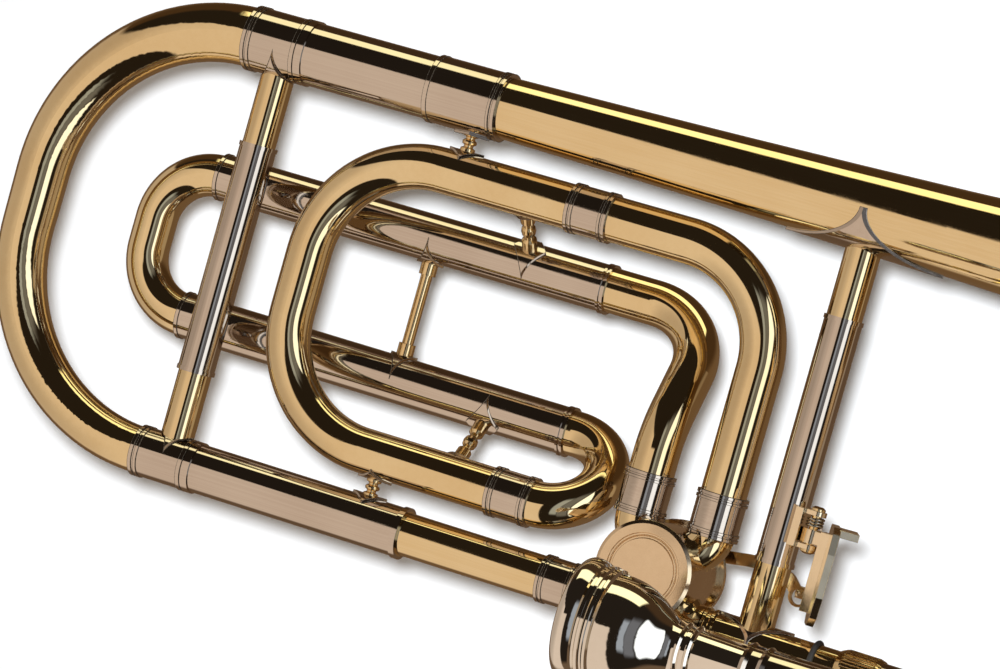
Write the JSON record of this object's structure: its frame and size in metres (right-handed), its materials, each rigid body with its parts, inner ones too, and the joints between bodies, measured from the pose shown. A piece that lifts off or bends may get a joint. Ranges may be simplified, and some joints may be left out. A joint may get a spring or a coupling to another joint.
{
  "type": "trombone",
  "caption": "Tenor trombone with an F attachment on a rotary valve: flared bell, two tuning slides, thumb trigger, hand slide, water key and mouthpiece.",
  "frame": {"origin": "the left-hand grip: the point on the neckpipe's axis that the bell brace's axis meets", "axes": "+X forward towards the bell mouth and the hand slide's bow, +Y from the neckpipe up to the bell, +Z towards the mouthpiece"},
  "size_m": [1.1427, 0.2713, 0.2159],
  "materials": {
    "lacquered_brass": "lacquered, mirror polished",
    "satin_brass": "satin, fine turned or brushed lines, lacquered",
    "bare_brass": "turned and knurled, lacquered",
    "nickel_silver": "polished nickel silver",
    "chromed_tube": "hard chrome plate, polished",
    "silver_plate": "silver plate, mirror polished",
    "spring_steel": "drawn wire",
    "black_rubber": "matt",
    "cork": "natural cork"
  },
  "bodies": {
    "bell_section": {"bell": "lacquered_brass", "bell_rim_wire": "lacquered_brass", "main_leg_ferrules": "nickel_silver", "main_upper_outer_tube": "nickel_silver", "main_lower_outer_tube": "nickel_silver", "gooseneck": "lacquered_brass", "valve_casing": "satin_brass", "valve_knuckles": "lacquered_brass", "valve_front_cap": "satin_brass", "valve_bearing_plates": "satin_brass", "valve_stop_bumpers": "black_rubber", "f_loop_front_bend": "lacquered_brass", "f_loop_back_bend": "lacquered_brass", "f_return_bend": "lacquered_brass", "f_crook": "lacquered_brass", "f_loop_ferrules": "nickel_silver", "f_outer_slide_tubes": "nickel_silver", "f_loop_posts": "lacquered_brass", "f_loop_flanges": "nickel_silver", "bell_brace_sleeve": "nickel_silver", "bell_brace_sockets": "lacquered_brass", "bell_brace_flanges": "lacquered_brass", "neckpipe": "lacquered_brass", "neckpipe_rubber_ring": "black_rubber", "trigger_bracket": "lacquered_brass", "trigger_axle": "lacquered_brass", "trigger_return_spring": "spring_steel", "slide_receiver": "lacquered_brass", "mouthpiece_receiver": "lacquered_brass", "inner_slide_tubes": "chromed_tube", "cork_barrels": "nickel_silver", "slide_corks": "cork", "inner_slide_brace": "nickel_silver"},
    "rotor": {"rotor": "satin_brass", "valve_stop_arm": "satin_brass", "stop_arm_screw": "spring_steel"},
    "valve_link": {"valve_link": "satin_brass"},
    "thumb_trigger": {"trigger_lever": "satin_brass", "thumb_paddle": "satin_brass"},
    "lock_nut": {"lock_nut": "bare_brass"},
    "main_tuning_slide": {"main_tuning_bow": "lacquered_brass", "main_tuning_ferrules": "nickel_silver", "main_tuning_inner_tubes": "nickel_silver", "tuning_brace_sleeve": "nickel_silver", "tuning_brace_sockets": "lacquered_brass", "tuning_brace_flanges": "nickel_silver"},
    "f_tuning_slide": {"f_tuning_bow": "lacquered_brass", "f_tuning_ferrules": "nickel_silver", "f_tuning_inner_tubes": "nickel_silver"},
    "hand_slide": {"outer_slide_tubes": "lacquered_brass", "outer_slide_collars": "nickel_silver", "outer_slide_brace": "nickel_silver", "slide_bow": "lacquered_brass", "slide_bow_fittings": "nickel_silver", "slide_bumper": "black_rubber", "water_key_saddle": "lacquered_brass"},
    "slide_lock": {"slide_lock_ring": "bare_brass"},
    "water_key": {"water_key_lever": "lacquered_brass", "water_key_cork": "cork"},
    "mouthpiece": {"mouthpiece": "silver_plate"}
  },
  "joints": [
    {"name": "trigger_swing", "type": "hinge", "parent": "bell_section", "child": "thumb_trigger", "pos_m": [0.0104, 0.0385, 0.004], "axis": [0, -1, 0], "range_deg": [0, 25], "stiffness_Nm_per_rad": 0.12, "springref_deg": -20.05},
    {"name": "rotor_turn", "type": "hinge", "parent": "bell_section", "child": "rotor", "pos_m": [-0.036, 0.0135, 0], "axis": [0, 0, -1], "range_deg": [0, 90]},
    {"name": "link_pin", "type": "hinge", "parent": "rotor", "child": "valve_link", "pos_m": [-0.04221, 0.01971, -0.024], "axis": [0, 0, 1], "range_deg": [0, 90]},
    {"name": "hand_slide_travel", "type": "slide", "parent": "bell_section", "child": "hand_slide", "axis": [1, 0, 0], "range_m": [0, 0.6]},
    {"name": "main_tuning", "type": "slide", "parent": "bell_section", "child": "main_tuning_slide", "axis": [-1, 0, 0], "range_m": [0, 0.055]},
    {"name": "f_tuning", "type": "slide", "parent": "bell_section", "child": "f_tuning_slide", "axis": [-1, 0, 0], "range_m": [0, 0.085]},
    {"name": "lock_nut_spin", "type": "hinge", "parent": "bell_section", "child": "lock_nut", "pos_m": [0.039, 0, 0], "axis": [1, 0, 0], "continuous": true},
    {"name": "slide_lock_turn", "type": "hinge", "parent": "bell_section", "child": "slide_lock", "pos_m": [0.162, 0, 0], "axis": [1, 0, 0], "range_deg": [0, 35]},
    {"name": "water_key_open", "type": "hinge", "parent": "hand_slide", "child": "water_key", "pos_m": [0.72, 0, -0.012], "axis": [0, 1, 0], "range_deg": [0, 12], "stiffness_Nm_per_rad": 0.03, "springref_deg": -28.65},
    {"name": "mouthpiece_pull", "type": "slide", "parent": "bell_section", "child": "mouthpiece", "axis": [-1, 0, 0], "range_m": [0, 0.03]}
  ],
  "couplings": [
    {"joint": "rotor_turn", "follows": "trigger_swing", "ratio": 3.6},
    {"joint": "link_pin", "follows": "trigger_swing", "ratio": 3.6}
  ]
}
